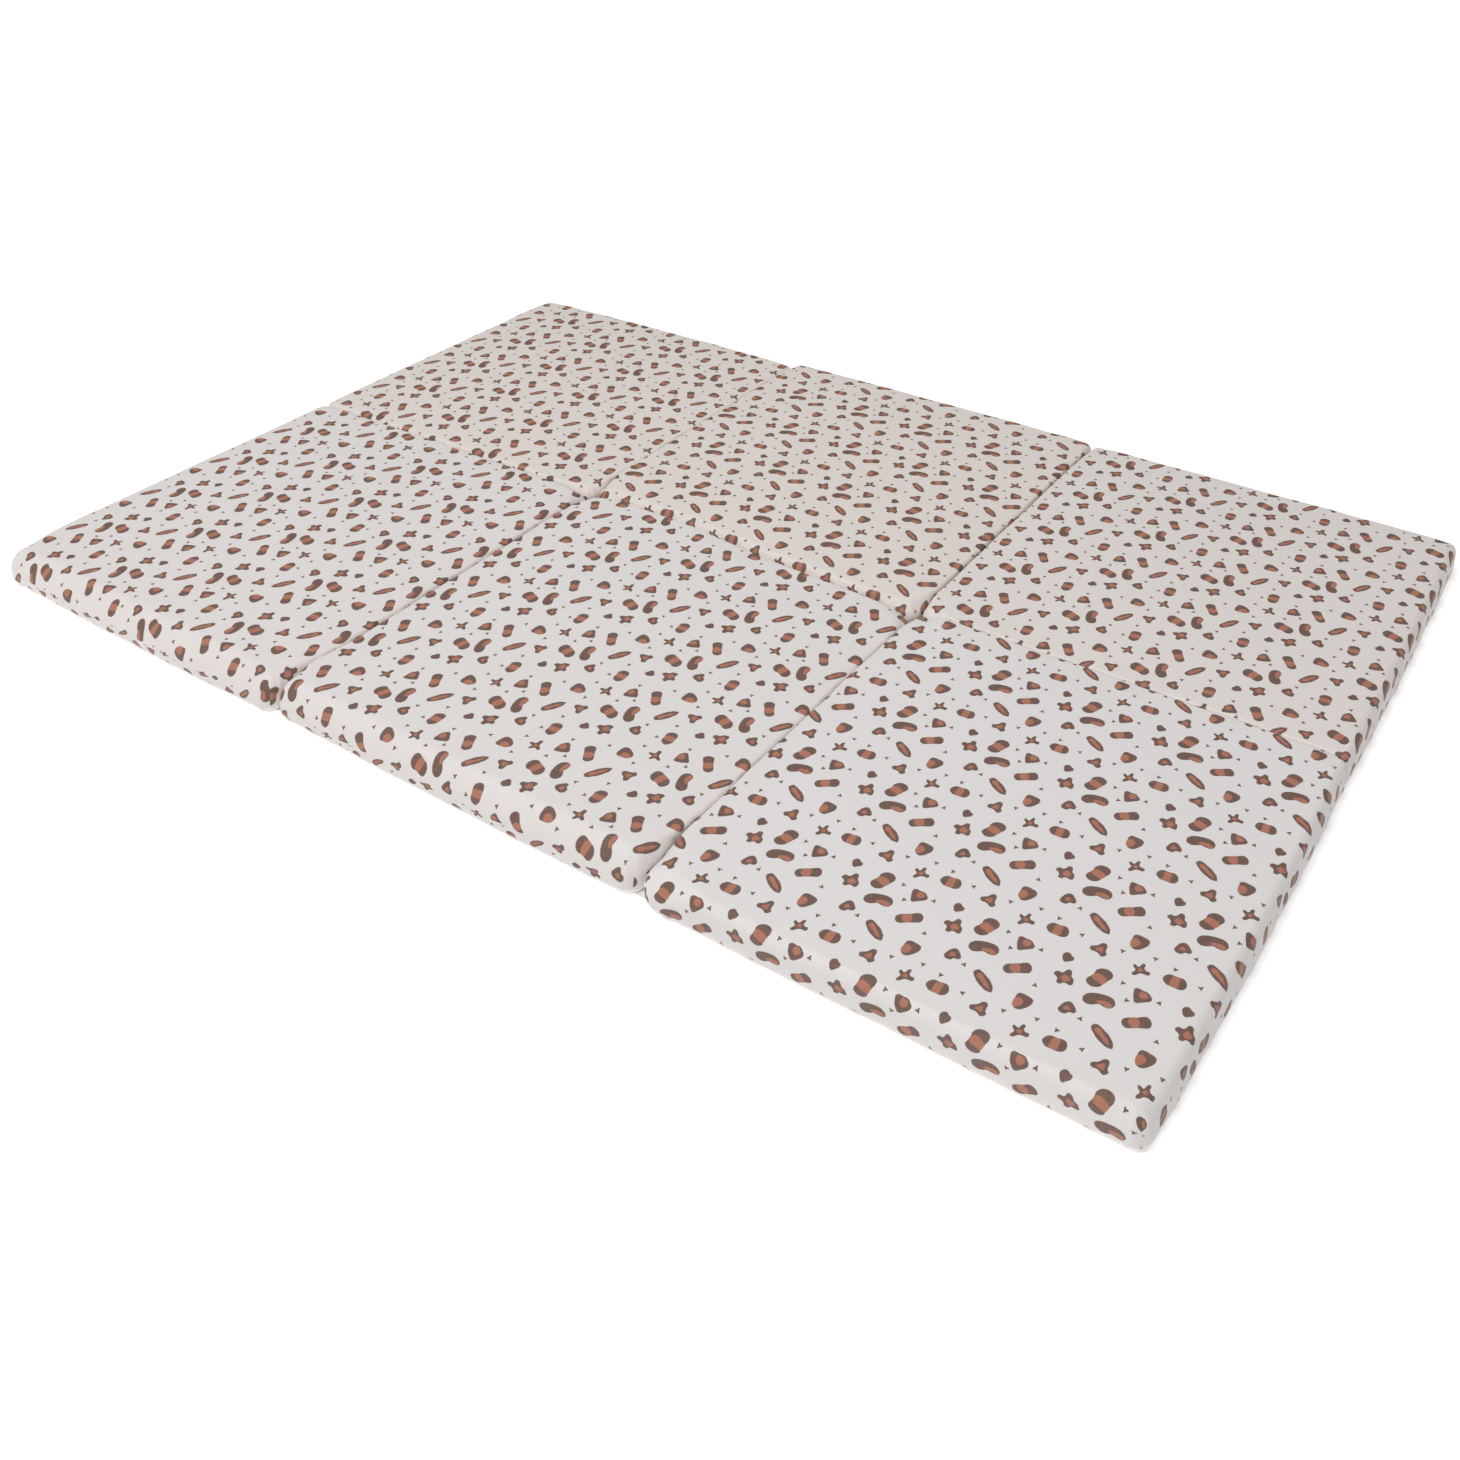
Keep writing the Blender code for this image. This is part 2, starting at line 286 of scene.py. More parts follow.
def coverMaterial():
    look = coverLook
    material, tree, shader = newMaterial("printedCover")
    lay = addNode(tree, "ShaderNodeUVMap", uv_map="clothLay").outputs[0]
    cloth = addNode(tree, "ShaderNodeVectorMath", {0: lay, "Scale": 1000.0}, operation="SCALE").outputs[0]
    dark, terracotta = printMasks(tree, cloth)

    # Ground cloth, a little warmer in broad patches and toward the handled rims
    patches = addNode(tree, "ShaderNodeTexNoise", {"Vector": cloth, "Scale": 0.006, "Detail": 3.0}).outputs[0]
    handled = addNode(tree, "ShaderNodeAttribute", attribute_name="handled").outputs["Fac"]
    uneven = calc(tree, "MULTIPLY_ADD", patches, look["patchiness"], -look["patchiness"] / 2)
    warm = calc(tree, "ADD", uneven, handled, clamp=True)
    ground = mixColour(tree, warm, look["ground"], look["groundWarm"])

    # Inks, thinner here and there where the cloth took less
    take = addNode(tree, "ShaderNodeTexNoise", {"Vector": cloth, "Scale": 0.22, "Detail": 4.0}).outputs[0]
    thin = calc(tree, "MULTIPLY", take, look["inkSpread"])
    colour = mixColour(tree, calc(tree, "MULTIPLY", dark, calc(tree, "SUBTRACT", 1.06, thin)), ground,
                       look["darkInk"])
    colour = mixColour(tree, calc(tree, "MULTIPLY", terracotta, calc(tree, "SUBTRACT", 1.05, thin)), colour,
                       look["terracottaInk"])
    tree.links.new(colour, shader.inputs["Base Color"])

    inked = calc(tree, "MAXIMUM", dark, terracotta)
    mottle = addNode(tree, "ShaderNodeTexNoise", {"Vector": cloth, "Scale": 0.05, "Detail": 5.0}).outputs[0]
    smooth = calc(tree, "MULTIPLY_ADD", mottle, 0.10, look["roughness"] - 0.05)
    rough = calc(tree, "MULTIPLY_ADD", inked, look["inkRoughness"] - look["roughness"], smooth)
    tree.links.new(rough, shader.inputs["Roughness"])
    shader.inputs["Specular IOR Level"].default_value = look["specular"]
    shader.inputs["Sheen Weight"].default_value = look["sheen"]
    shader.inputs["Sheen Roughness"].default_value = look["sheenRoughness"]

    slubs = addNode(tree, "ShaderNodeTexNoise", {"Vector": cloth, "Scale": 0.35, "Detail": 4.0}).outputs[0]
    soft = addNode(tree, "ShaderNodeTexNoise", {"Vector": cloth, "Scale": 0.028, "Detail": 2.0}).outputs[0]
    stackBumps(tree, shader, [(soft, look["creaseHeight"], 0.5), (slubs, look["slubHeight"], 0.35),
                              (weaveHeight(tree, cloth, look["weavePitch"]), look["weaveHeight"], 0.4)])
    return material


plainCloths = {
    "undersideCloth": {"colour": (0.80, 0.765, 0.72, 1), "aged": (0.74, 0.70, 0.65, 1), "roughness": 0.70,
                       "pitch": 1.1, "height": 0.09 * mm},
    "hingeCloth": {"colour": (0.84, 0.82, 0.80, 1), "aged": (0.76, 0.73, 0.70, 1), "roughness": 0.72,
                   "pitch": 0.9, "height": 0.08 * mm},
}


def plainMaterial(name):
    look = plainCloths[name]
    material, tree, shader = newMaterial(name)
    lay = addNode(tree, "ShaderNodeUVMap", uv_map="clothLay").outputs[0]
    cloth = addNode(tree, "ShaderNodeVectorMath", {0: lay, "Scale": 1000.0}, operation="SCALE").outputs[0]
    patches = addNode(tree, "ShaderNodeTexNoise", {"Vector": cloth, "Scale": 0.03, "Detail": 5.0}).outputs[0]
    tree.links.new(mixColour(tree, patches, look["colour"], look["aged"]), shader.inputs["Base Color"])
    tree.links.new(calc(tree, "MULTIPLY_ADD", patches, 0.12, look["roughness"] - 0.06),
                   shader.inputs["Roughness"])
    shader.inputs["Specular IOR Level"].default_value = 0.3
    shader.inputs["Sheen Weight"].default_value = 0.10
    weave = weaveHeight(tree, cloth, look["pitch"])
    stackBumps(tree, shader, [(patches, 0.2 * mm, 0.4), (weave, look["height"], 0.6)])
    return material


# The panels. Rims are the radii of the top edges, corners (radius, how far it reaches along the rims,
# how far the cover pulls the corner down). Outward is how far a side stands past the grid, at its left or
# front end, at its right or back end, and how far its middle bows; lean is how much further its foot
# stands out. Sizes are in mm; warmth is how far the ground cloth has turned creamy.
panels = {
    "panel_front_left": {
        "piece": "coverFrontLeft", "column": 0, "row": 0,
        "rims": {"front": 28, "right": 6, "back": 6, "left": 12},
        "corners": {"frontLeft": (22, 80, 3), "frontRight": (20, 60, 4), "backRight": (15, 45, 4),
                    "backLeft": (11, 50, 1)},
        "outward": {"front": (-12, -4, 3), "left": (5, 5, 0)}, "lean": {"front": 10},
        "printTurn": 270, "printShift": (31, 22), "warmth": 0.4, "seed": 3},
    "panel_front_middle": {
        "piece": "coverFrontMiddle", "column": 1, "row": 0,
        "rims": {"front": 26, "right": 6, "back": 8, "left": 6},
        "corners": {"frontLeft": (21, 50, 4), "frontRight": (25, 50, 4), "backRight": (18, 45, 6),
                    "backLeft": (16, 45, 5)},
        "outward": {"front": (-9, 0, 2)}, "lean": {"front": 10},
        "printTurn": 90, "printShift": (-12, 40), "warmth": 0.3, "seed": 11},
    "panel_front_right": {
        "piece": "coverFrontRight", "column": 2, "row": 0,
        "rims": {"front": 12, "right": 11, "back": 4, "left": 6},
        "corners": {"frontLeft": (32, 80, 4), "frontRight": (18, 50, 4), "backRight": (9, 40, 2),
                    "backLeft": (14, 45, 5)},
        "outward": {"front": (13, 13, 0), "right": (-19, -12, 5)}, "lean": {"right": 4},
        "printTurn": 0, "printShift": (8, -15), "warmth": 0.05, "seed": 19},
    "panel_back_left": {
        "piece": "coverBackLeft", "column": 0, "row": 1,
        "rims": {"front": 8, "right": 6, "back": 12, "left": 11},
        "corners": {"frontLeft": (11, 50, 1), "frontRight": (16, 45, 5), "backRight": (14, 50, 2),
                    "backLeft": (13, 50, 2)},
        "outward": {"back": (0, 0, 4), "left": (5, 5, 0)}, "lean": {},
        "printTurn": 90, "printShift": (44, 5), "warmth": 1.0, "seed": 27},
    "panel_back_middle": {
        "piece": "coverBackMiddle", "column": 1, "row": 1,
        "rims": {"front": 15, "right": 5, "back": 12, "left": 6},
        "corners": {"frontLeft": (19, 50, 6), "frontRight": (20, 50, 6), "backRight": (13, 50, 2),
                    "backLeft": (14, 50, 2)},
        "outward": {"back": (10, 3, 0)}, "lean": {},
        "printTurn": 0, "printShift": (-30, 18), "warmth": 0.95, "seed": 35},
    "panel_back_right": {
        "piece": "coverBackRight", "column": 2, "row": 1,
        "rims": {"front": 4, "right": 11, "back": 12, "left": 5},
        "corners": {"frontLeft": (15, 45, 5), "frontRight": (9, 40, 2), "backRight": (13, 50, 2),
                    "backLeft": (13, 50, 2)},
        "outward": {"back": (2, -4, -2), "right": (-12, -17, 3)}, "lean": {"right": 4},
        "printTurn": 90, "printShift": (17, -38), "warmth": 0.6, "seed": 43},
}

# The seam between the rows, for each column: how far it lies behind the grid at its left and right end,
# and the height of its wave up at the rims, in mm; waveAt and waveWidth are shares of half a panel
rowSeamLine = {
    "ends": ((12, 16), (24, -5), (3, 0)),
    "wave": (1, 9, 0),
    "waveAt": -0.42,
    "waveWidth": 0.34,
}

# The seams between neighbours swing to the left near the front edge: how far, and from where, in mm
frontSwing = {"shift": {1: 12, 2: 8}, "reach": 130}

coverForm = {
    "crown": 4.0 * mm,
    "crownPower": 2.5,
    "seamBottomRound": 12 * mm,       # under a rim that meets another panel
    "freeBottomRound": 9 * mm,
    "roundSteps": 7,                  # grid lines in half a rim
    "fieldCells": 92,
    "fieldCrowding": 0.5,             # how much closer the grid lines stand near the rims
    "wallCells": 5,
    "footSteps": 5,                   # grid lines in half a bottom edge
    "freeBulge": 1.2 * mm,            # outer sides swell between floor and rim
    "swell": 0.7 * mm,                # low unevenness of the foam
    "swellSize": 0.16,
    "rimRipple": 0.55 * mm,
    "rimRippleSize": 0.045,
    "rimReach": 0.03,                 # how far in from a side the cloth ripples
    "sideRipple": 0.6,                # share of the ripple that pushes sideways
    "gather": 0.9 * mm,               # radial tucks at the corners
    "gatherReach": 16 * mm,
    "gatherAt": 1.4,                  # middle of the tucks, in radii in from both sides
    "tuckCounts": (13, 23),
    "seamGroove": 0.8 * mm,           # the sewn corner seam down each vertical edge
    "seamWidth": 1.6 * mm,
    "puckerRate": 700,                # stitches pull the seam in and out, about every 9 mm
    "seamWave": 0.9 * mm,             # wander of the sides where covers meet, and of the outer sides
    "freeWave": 0.6 * mm,
    "rimWarmth": 0.25,                # handled rims are creamier
    "rimWarmthReach": 20 * mm,
}


def smoothStep(value):
    value = np.clip(value, 0.0, 1.0)
    return value * value * (3 - 2 * value)


def blendValue(first, second, share):
    return first + (second - first) * share


def lineWave(line, along, height):
    # One line of the grid wanders a little, in waves about 20 and 11 cm long; both panels beside it
    # follow the same waves
    phase = 1.7 * line + 0.4
    return height * (0.6 * np.sin(along * 31 + phase) + 0.4 * np.sin(along * 57 + 2.3 * phase))


def seamSwing(line, y):
    # Shift of a seam between neighbours near the front edge; covers and hinge both follow it
    near = smoothStep(1 - (y - frontLine) / (frontSwing["reach"] * mm))
    return -frontSwing["shift"].get(line, 0) * mm * near


def roundStations(low, field, high):
    # Each station is a share of the way across the flat field and a turn round a rim, -45 to 45 degrees
    lowTurns = -math.pi / 4 * np.arange(low, 0, -1) / low
    highTurns = math.pi / 4 * np.arange(1, high + 1) / high
    share = np.concatenate([np.zeros(low), field, np.ones(high)])
    turn = np.concatenate([lowTurns, np.zeros(len(field)), highTurns])
    return share, turn


def shellGrid(counts):
    # Numbers the grid points on the surface of a box, and lists each side's faces, facing out
    ids = np.full(counts, -1)
    onSurface = np.zeros(counts, bool)
    for axis in range(3):
        for end in (0, -1):
            side = [slice(None)] * 3
            side[axis] = end
            onSurface[tuple(side)] = True
    places = np.nonzero(onSurface)
    ids[places] = np.arange(len(places[0]))
    sides = {}
    for axis, names in enumerate((("left", "right"), ("front", "back"), ("bottom", "top"))):
        for end, name in zip((0, -1), names):
            flat = np.take(ids, end, axis=axis)
            quads = np.stack([flat[:-1, :-1], flat[1:, :-1], flat[1:, 1:], flat[:-1, 1:]], -1).reshape(-1, 4)
            outward = (end == -1) != (axis == 1)
            sides[name] = quads if outward else quads[:, ::-1]
    return places, sides


def meshFromSides(name, points, sides, layers, materialOf):
    # layers: UV map name to {side: (u, v) for every point}
    quads = np.concatenate(list(sides.values()))
    mesh = bpy.data.meshes.new(name)
    mesh.from_pydata(points.tolist(), [], quads.tolist())
    for label, perSide in layers.items():
        uv = np.concatenate([np.stack(perSide[side], -1)[sides[side].ravel()] for side in sides])
        layer = mesh.uv_layers.new(name=label)
        layer.uv.foreach_set("vector", uv.astype(np.float32).ravel())
    slots = np.concatenate([np.full(len(sides[side]), materialOf.get(side, 0)) for side in sides])
    mesh.polygons.foreach_set("material_index", slots.astype(np.int32))
    mesh.polygons.foreach_set("use_smooth", np.ones(len(quads), bool))
    mesh.update()
    return mesh


def cornerBlend(along, length, nearCorner, farCorner, rim):
    # A rim's radius along its side, easing into the radii of its two corners
    near = smoothStep(1 - along * length / (nearCorner[1] * mm))
    far = smoothStep(1 - (1 - along) * length / (farCorner[1] * mm))
    radius = blendValue(rim, nearCorner[0] * mm, near)
    return blendValue(radius, farCorner[0] * mm, far)


def coverPoints(spec, size, places, stations):
    # Grid points of one cover about the middle of its floor face, and their unrolled lay in metres
    form = coverForm
    (shareX, turnX), (shareY, turnY), (shareZ, turnZ) = [
        (share[index], turn[index]) for (share, turn), index in zip(stations, places)]
    width, depth, height = size
    corners = spec["corners"]
    isFree = {"left": spec["column"] == 0, "right": spec["column"] == 2,
              "front": spec["row"] == 0, "back": spec["row"] == 1}

    def radii(side, along, length, near, far):
        top = cornerBlend(along, length, corners[near], corners[far], spec["rims"][side] * mm)
        under = form["freeBottomRound"] if isFree[side] else form["seamBottomRound"]
        bottom = cornerBlend(along, length, corners[near], corners[far], under)
        return top, blendValue(bottom, top, smoothStep(shareZ)), under

    leftTop, left, leftUnder = radii("left", shareY, depth, "frontLeft", "backLeft")
    rightTop, right, rightUnder = radii("right", shareY, depth, "frontRight", "backRight")
    frontTop, front, frontUnder = radii("front", shareX, width, "frontLeft", "frontRight")
    backTop, back, backUnder = radii("back", shareX, width, "backLeft", "backRight")

    # The rim nearest to a point gives the radius that turns down to its wall
    byX = np.minimum(shareX, 1 - shareX) * width < np.minimum(shareY, 1 - shareY) * depth
    topRound = np.where(byX, np.where(shareX < 0.5, leftTop, rightTop),
                        np.where(shareY < 0.5, frontTop, backTop))
    underRound = np.where(byX, np.where(shareX < 0.5, leftUnder, rightUnder),
                          np.where(shareY < 0.5, frontUnder, backUnder))

    innerX = blendValue(left - width / 2, width / 2 - right, shareX)
    innerY = blendValue(front - depth / 2, depth / 2 - back, shareY)
    innerZ = blendValue(underRound, height - topRound, shareZ)
    roundX = np.where(shareX < 0.5, left, right)
    roundY = np.where(shareY < 0.5, front, back)
    roundZ = np.where(shareZ < 0.5, underRound, topRound)
    facing = np.stack([np.tan(turnX), np.tan(turnY), np.tan(turnZ)])
    facing /= np.linalg.norm(facing, axis=0)
    x = innerX + roundX * facing[0]
    y = innerY + roundY * facing[1]
    z = innerZ + roundZ * facing[2]

    # Unrolled lay: across the top by arc length, then down each wall
    layX, layY = innerX + roundX * turnX, innerY + roundY * turnY
    down = np.where(turnZ > 0, topRound * (math.pi / 2 - turnZ),
                    topRound * math.pi / 2 + (height - topRound - innerZ) - underRound * turnZ)
    lay = {"top": (layX, layY), "bottom": (x, y),
           "right": (width / 2 - right + down, layY), "left": (left - width / 2 - down, layY),
           "back": (layX, depth / 2 - back + down), "front": (layX, front - depth / 2 - down)}
    return np.stack([x, y, z]), facing, lay


def shapeCover(spec, size, points, facing):
    # Crown, swells, ripples, tucks and the wander of the sides, on top of the plain rounded block
    form = coverForm
    x, y, z = points
    width, depth, height = size
    s, t, up = 2 * x / width, 2 * y / depth, z / height
    onTop = smoothStep((up - 0.35) / 0.65)
    crown = (1 - np.abs(s) ** form["crownPower"]).clip(0) * (1 - np.abs(t) ** form["crownPower"]).clip(0)
    z = z + form["crown"] * crown * onTop

    fromSide = np.minimum(width / 2 - np.abs(x), depth / 2 - np.abs(y)).clip(0)
    nearRim = np.exp(-(fromSide / form["rimReach"]) ** 2)
    seed = spec["seed"]
    wide, fine = form["swellSize"], form["rimRippleSize"]
    swells = np.array([noise.noise((a / wide, b / wide, seed)) for a, b in zip(x, y)])
    ripples = np.array([noise.noise((a / fine, b / fine, c / fine + seed)) for a, b, c in zip(x, y, z)])
    lift = form["swell"] * swells * (1 - nearRim) + form["rimRipple"] * ripples * nearRim
    offFloor = smoothStep(up / 0.3)
    x = x + facing[0] * form["rimRipple"] * ripples * nearRim * offFloor * form["sideRipple"]
    y = y + facing[1] * form["rimRipple"] * ripples * nearRim * offFloor * form["sideRipple"]
    z = z + lift * onTop

    # Corners: pulled down, radial tucks, and the sewn seam down the vertical edge
    for name, sideX, sideY in (("frontLeft", -1, -1), ("frontRight", 1, -1), ("backRight", 1, 1),
                               ("backLeft", -1, 1)):
        radius, reach, sink = (value * mm for value in spec["corners"][name])
        awayX = width / 2 - sideX * x
        awayY = depth / 2 - sideY * y
        near = smoothStep(1 - np.hypot(awayX, awayY) / reach)
        z = z - sink * near * onTop
        gatherAt = radius * form["gatherAt"]
        outX, outY = gatherAt - awayX, gatherAt - awayY
        angle = np.arctan2(outY, outX)
        ring = np.exp(-((np.hypot(outX, outY) - radius) / form["gatherReach"]) ** 2) * near
        coarse, fine = form["tuckCounts"]
        tuck = np.sin(angle * coarse + seed + sideX) * 0.7 + np.sin(angle * fine + 2 * seed) * 0.3
        depthHere = form["gather"] * ring * tuck * smoothStep((up - 0.45) / 0.4)
        x, y, z = x + facing[0] * depthHere, y + facing[1] * depthHere, z + facing[2] * depthHere
        onDiagonal = smoothStep(1 - np.abs(awayX - awayY) / form["seamWidth"])
        onSeam = onDiagonal * smoothStep(1 - np.maximum(awayX, awayY) / radius)
        pucker = 0.75 + 0.25 * np.sin(z * form["puckerRate"] + seed)
        groove = form["seamGroove"] * onSeam * pucker * offFloor
        x, y = x - facing[0] * groove, y - facing[1] * groove

    # Outer sides swell between the floor and the rim
    belly = form["freeBulge"] * np.sin(math.pi * up.clip(0, 1)) ** 1.5
    x = x + np.where(s > 0, spec["column"] == 2, spec["column"] == 0) * facing[0] * belly * (np.abs(s) > 0.9)
    y = y + np.where(t > 0, 0.0, spec["row"] == 0) * facing[1] * belly * (np.abs(t) > 0.9)
    y = y + np.where(t > 0, spec["row"] == 1, 0.0) * facing[1] * belly * (np.abs(t) > 0.9)
    return x, y, z


def wanderSides(spec, size, centre, points):
    # Sides leave the straight grid: seam lines wave, outer sides bow and lean
    form = coverForm
    x, y, z = points
    width, depth, height = size
    s, t = (2 * x / width).clip(-1, 1), (2 * y / depth).clip(-1, 1)
    column, row = spec["column"], spec["row"]
    foot = smoothStep(1 - z / height)
    atRim = 1 - foot

    def outward(side, along):
        start, end, bow = (value * mm for value in spec["outward"].get(side, (0, 0, 0)))
        lean = spec["lean"].get(side, 0) * mm * foot
        return blendValue(start, end, (1 + along) / 2) + bow * (1 - along * along) + lean

    def wave(line, free, along):
        return lineWave(line, along, form["freeWave"] if free else form["seamWave"])

    seamStart, seamEnd = (value * mm for value in rowSeamLine["ends"][column])
    rise = np.exp(-((s - rowSeamLine["waveAt"]) / rowSeamLine["waveWidth"]) ** 2)
    seam = blendValue(seamStart, seamEnd, (1 + s) / 2) + rowSeamLine["wave"][column] * mm * rise * atRim
    along = centre[1] + y
    left = wave(column, column == 0, along) + seamSwing(column, along) - outward("left", t)
    right = wave(column + 1, column == 2, along) + seamSwing(column + 1, along) + outward("right", t)
    front = wave(4 + row, row == 0, centre[0] + x) + (seam if row == 1 else -outward("front", s))
    back = wave(5 + row, row == 1, centre[0] + x) + (seam if row == 0 else outward("back", s))
    toRight, toBack = smoothStep((1 + s) / 2), smoothStep((1 + t) / 2)
    return x + blendValue(left, right, toRight) + centre[0], y + blendValue(front, back, toBack) + centre[1]


# Where the unrolled cover and its underside lie in the unit square of the bake
bakeSquare = {
    "coverAt": 0.4,
    "coverHalf": (0.39, 0.49),
    "undersideAt": 0.905,
    "undersideSize": (0.16, 0.9),
    "undersideSpan": 0.6,             # metres that undersideSize stands for
}


def bakeLay(lay):
    # All sides of a cover in one square, none over another: the unrolled top and walls, then the underside
    square = bakeSquare
    reach = max(np.abs(part).max() for side in ("right", "left", "back", "front") for part in lay[side])
    halfWide, halfHigh = square["coverHalf"]
    wide, high = square["undersideSize"]
    span = square["undersideSpan"]
    inside = {}
    for side, (u, v) in lay.items():
        if side == "bottom":
            inside[side] = (square["undersideAt"] + u * wide / span, 0.5 + v * high / span)
        else:
            inside[side] = (square["coverAt"] + u * halfWide / reach, 0.5 + v * halfHigh / reach)
    return inside


def printLay(lay, turn, shift):
    # Cloth coordinates of the print: turned and shifted as this panel was cut
    c, s = math.cos(math.radians(turn)), math.sin(math.radians(turn))
    return {side: (u * c + v * s + shift[0] * mm, v * c - u * s + shift[1] * mm)
            for side, (u, v) in lay.items()}


def coverSpan(lines, place):
    # From seam to seam of the grid, less half the groove wherever another cover lies alongside
    low, high = lines[place], lines[place + 1]
    if place > 0:
        low += coverGap / 2
    if place < len(lines) - 2:
        high -= coverGap / 2
    return low, high


def makeCover(node, spec, materials):
    form = coverForm
    low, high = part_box(node)
    left, right = coverSpan(columnLines, spec["column"])
    front, back = coverSpan(rowLines, spec["row"])
    width, depth = right - left, back - front
    size = (width, depth, high.z - low.z - form["crown"])
    t = np.linspace(0, 1, form["fieldCells"] + 1)
    field = t - form["fieldCrowding"] * np.sin(math.tau * t) / math.tau
    across = roundStations(form["roundSteps"], field, form["roundSteps"])
    upward = roundStations(form["footSteps"], np.linspace(0, 1, form["wallCells"] + 1), form["roundSteps"])
    stations = (across, across, upward)
    places, sides = shellGrid([len(share) for share, _ in stations])
    points, facing, lay = coverPoints(spec, size, places, stations)
    x, y, z = shapeCover(spec, size, points, facing)
    fromSide = np.minimum(width / 2 - np.abs(x), depth / 2 - np.abs(y)).clip(0)
    handled = spec["warmth"] + form["rimWarmth"] * np.exp(-(fromSide / form["rimWarmthReach"]) ** 2)
    x, y = wanderSides(spec, size, ((left + right) / 2, (front + back) / 2), (x, y, z))
    layers = {"clothLay": printLay(lay, spec["printTurn"], spec["printShift"]), "OFBake": bakeLay(lay)}
    mesh = meshFromSides(spec["piece"], np.stack([x, y, z], -1), sides, layers, {"bottom": 1})
    mark = mesh.attributes.new("handled", "FLOAT", "POINT")
    mark.data.foreach_set("value", handled.astype(np.float32))
    for material in materials:
        mesh.materials.append(material)
    cover = bpy.data.objects.new(spec["piece"], mesh)
    bpy.context.scene.collection.objects.link(cover)
    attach(cover, "root")
    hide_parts(node)
    return cover


# Cloth hinges: strips of doubled cloth on the floor under the seams
hingeForm = {
    "lengthCells": 90,
    "widthCells": 6,
    "wave": 0.5 * mm,
    "thinRim": 0.4,
    "tabs": {"hinge_front_2": {"reach": 8 * mm, "halfWidth": 9 * mm, "ease": 8 * mm}},
}


def hingeRun(node):
    # Length of a strip and the way it runs; a strip between the rows follows their seam
    low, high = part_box(node)
    if not node.startswith("hinge_between_rows"):
        return high.y - low.y, math.pi / 2
    column = ("left", "middle", "right").index(node.split("_")[-1])
    start, end = (value * mm for value in rowSeamLine["ends"][column])
    return math.hypot(panelPitch, end - start) - 2 * hingeEndGap, math.atan2(end - start, panelPitch)


def makeHinge(node, material):
    form = hingeForm
    middle = middleOf(node)
    length, way = hingeRun(node)
    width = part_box("hinge_front_1")[1].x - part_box("hinge_front_1")[0].x
    thickness = middle.z * 2
    tab = form["tabs"].get(node, {"reach": 0.0, "halfWidth": width / 2, "ease": 1.0})
    start = -length / 2 - tab["reach"]
    grids = (np.linspace(0, 1, form["lengthCells"] + 1), np.linspace(-1, 1, form["widthCells"] + 1),
             np.linspace(0, 1, 3))
    places, sides = shellGrid([len(grid) for grid in grids])
    share, across, up = (grid[index] for grid, index in zip(grids, places))
    along = start + (length / 2 - start) * share
    flare = smoothStep(1 - (along - start) / tab["ease"]) ** 2
    half = width / 2 + (tab["halfWidth"] - width / 2) * flare
    offset = across * half
    lift = form["wave"] * (0.5 + 0.5 * np.sin(along * 90 + np.sin(along * 37))) * (1 - across ** 2)
    z = thickness * up * (1 - form["thinRim"] * across ** 4) + lift * up
    x = middle.x + along * math.cos(way) - offset * math.sin(way)
    y = middle.y + along * math.sin(way) + offset * math.cos(way)
    if node.startswith("hinge_front"):
        x = x + seamSwing(int(node[-1]), y)
    points = np.stack([x, y, z], -1)
    lay = {"top": (along, offset), "bottom": (along, offset), "front": (along, z), "back": (along, z),
           "left": (z, offset), "right": (z, offset)}
    mesh = meshFromSides(node.replace("hinge", "hingeCloth"), points, sides, {"clothLay": lay}, {})
    mesh.materials.append(material)
    strip = bpy.data.objects.new(mesh.name, mesh)
    bpy.context.scene.collection.objects.link(strip)
    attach(strip, "root")
    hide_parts(node)
    return strip


# Floor, light and camera
studio = {
    "floorColour": (0.90, 0.90, 0.90, 1),
    "floorGlow": 0.34,       # near the mat
    "farGlow": 1.1,          # beyond the key's reach, so that the floor stays white to the back
    "glowFrom": 0.8,         # metres from the mat
    "glowTo": 3.5,
    "keySize": 4.8,
    "keyDistance": 8.5,
    "keySide": -20,          # degrees to the right of the front
    "keyHeight": 73,
    "keyPower": 616,
    "ambient": 0.105,
    "ambientColour": (0.98, 0.985, 1.0, 1),
}


def fromAngles(side, height):
    side, height = math.radians(side), math.radians(height)
    return Vector((math.sin(side) * math.cos(height), -math.cos(side) * math.cos(height), math.sin(height)))


def makeFloor():
    bpy.ops.mesh.primitive_plane_add(size=30, location=(0, 0, 0))
    floor = bpy.context.object
    floor.name = "paleFloor"
    material, tree, shader = newMaterial("paleFloor")
    shader.inputs["Base Color"].default_value = studio["floorColour"]
    shader.inputs["Roughness"].default_value = 0.9
    shader.inputs["Specular IOR Level"].default_value = 0.1
    shader.inputs["Emission Color"].default_value = (1, 1, 1, 1)
    place = addNode(tree, "ShaderNodeTexCoord").outputs["Object"]
    away = vectorCalc(tree, "LENGTH", place)
    glow = addNode(tree, "ShaderNodeMapRange", {"Value": away, 1: studio["glowFrom"], 2: studio["glowTo"],
                                                3: studio["floorGlow"], 4: studio["farGlow"]})
    tree.links.new(glow.outputs[0], shader.inputs["Emission Strength"])
    floor.data.materials.append(material)


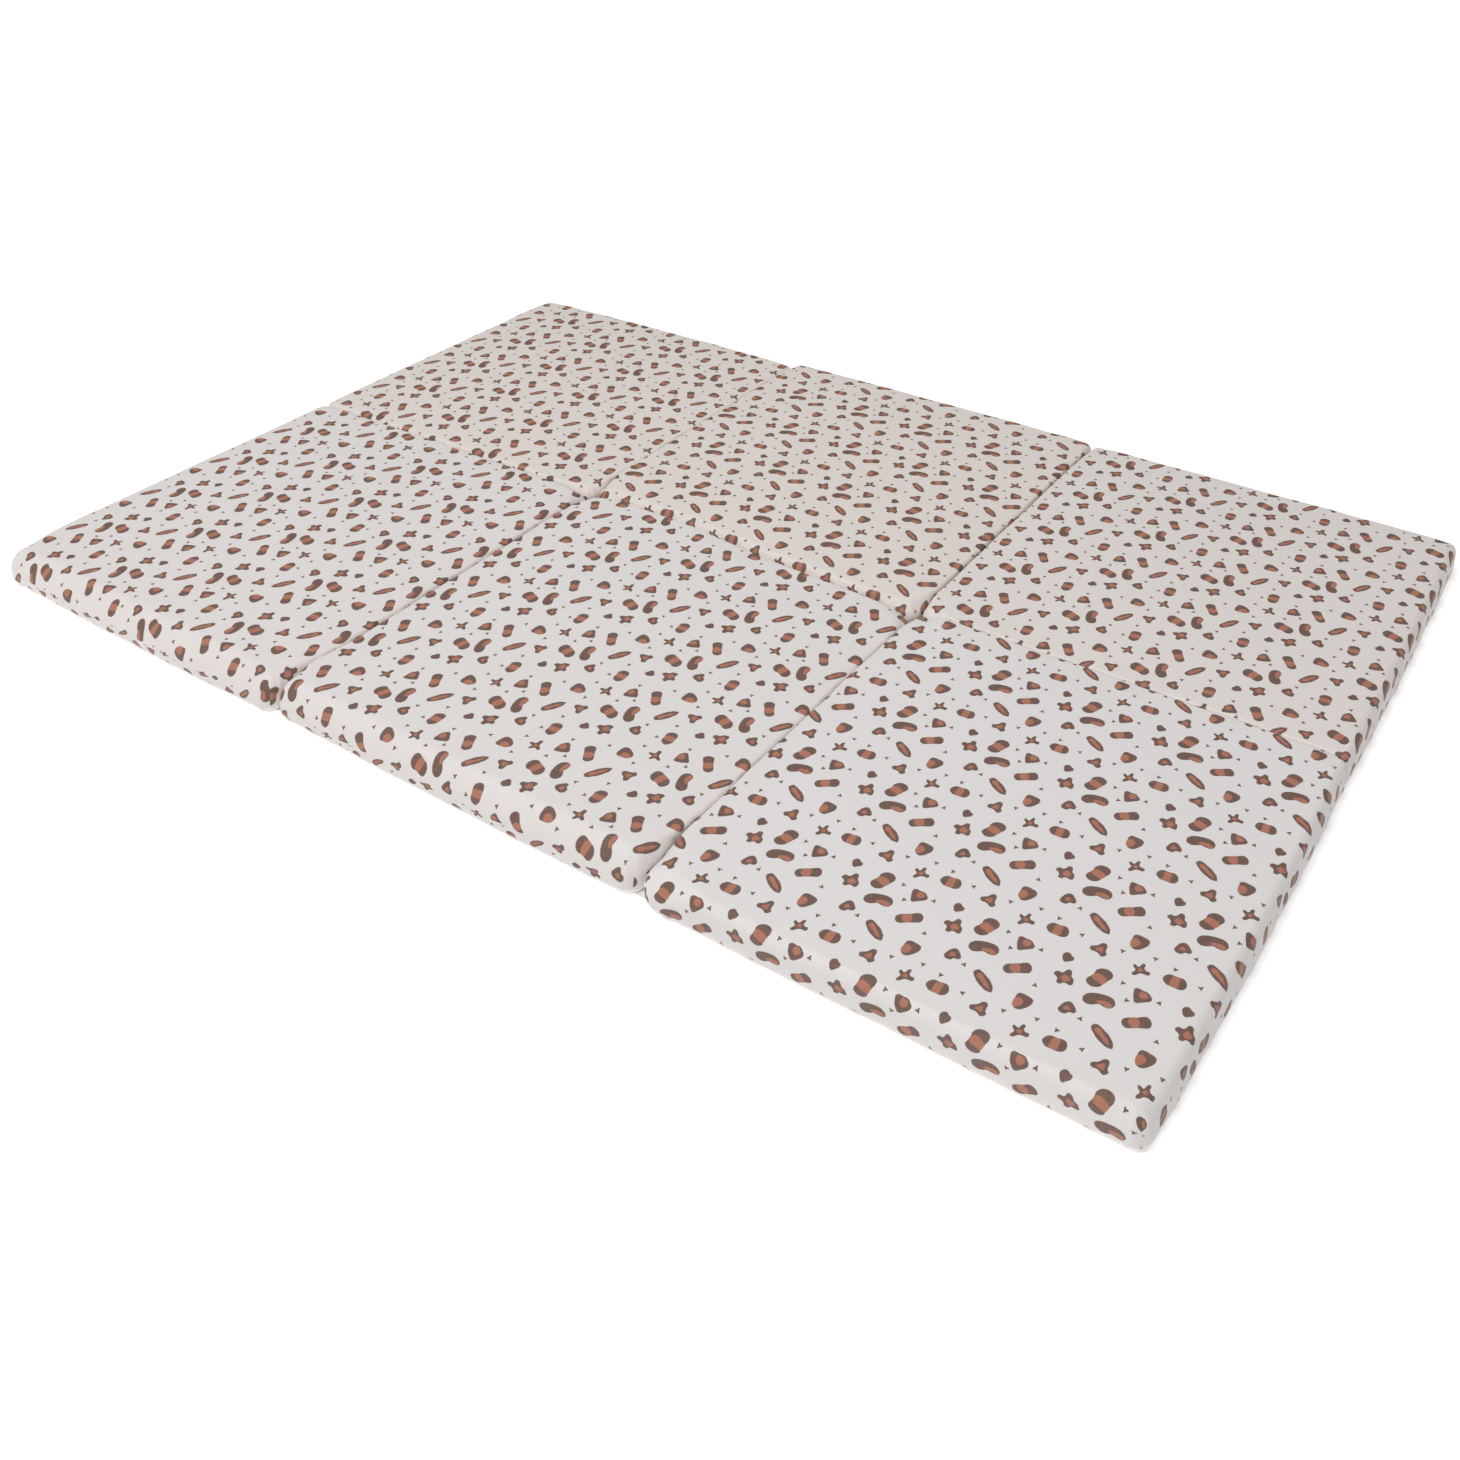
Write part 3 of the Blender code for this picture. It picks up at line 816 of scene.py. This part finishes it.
def makeLights():
    light = bpy.data.lights.new("softKey", "AREA")
    light.shape = "SQUARE"
    light.size = studio["keySize"]
    light.energy = studio["keyPower"]
    key = bpy.data.objects.new("softKey", light)
    direction = fromAngles(studio["keySide"], studio["keyHeight"])
    key.location = direction * studio["keyDistance"]
    key.rotation_euler = direction.to_track_quat("Z", "Y").to_euler()
    bpy.context.scene.collection.objects.link(key)
    world = bpy.data.worlds.new("studio")
    world.use_nodes = True
    background = world.node_tree.nodes["Background"]
    background.inputs["Color"].default_value = studio["ambientColour"]
    background.inputs["Strength"].default_value = studio["ambient"]
    bpy.context.scene.world = world


viewpoint = {
    "side": 32.96,            # degrees to the right of the front
    "height": 36.62,
    "distance": 1.8266,
    "aim": (0.2403, -0.1729, 0.0),   # from the middle of the mat's grid
    "lens": 33.89,
    "sensor": 36.0,
    "axisAt": (812.2, 687.7),  # where the lens axis meets the picture, in its 1460 x 1460 pixels
    "picture": 1460,
}


def makeCamera():
    view = viewpoint
    data = bpy.data.cameras.new("photoView")
    data.lens = view["lens"]
    data.sensor_width = view["sensor"]
    data.sensor_fit = "HORIZONTAL"
    data.shift_x = (view["picture"] / 2 - view["axisAt"][0]) / view["picture"]
    data.shift_y = (view["axisAt"][1] - view["picture"] / 2) / view["picture"]
    camera = bpy.data.objects.new("photoView", data)
    back = fromAngles(view["side"], view["height"])
    gridMiddle = Vector(((firstSeam + secondSeam) / 2, rowLines[1], 0))
    camera.location = gridMiddle + Vector(view["aim"]) + back * view["distance"]
    camera.rotation_euler = Euler((math.radians(90 - view["height"]), 0, math.radians(view["side"])))
    bpy.context.scene.collection.objects.link(camera)
    bpy.context.scene.camera = camera


printed = coverMaterial()
underside = plainMaterial("undersideCloth")
hingeMaterial = plainMaterial("hingeCloth")
print("materials ready:", len(printed.node_tree.nodes), "nodes in the cover")
for node, spec in panels.items():
    makeCover(node, spec, (printed, underside))
print("covers ready:", len(panels))
for node in sorted(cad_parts):
    if node.startswith("hinge"):
        makeHinge(node, hingeMaterial)
print("hinges ready")
makeFloor()
makeLights()
makeCamera()
bpy.context.scene.view_settings.view_transform = "Standard"
print("studio ready")
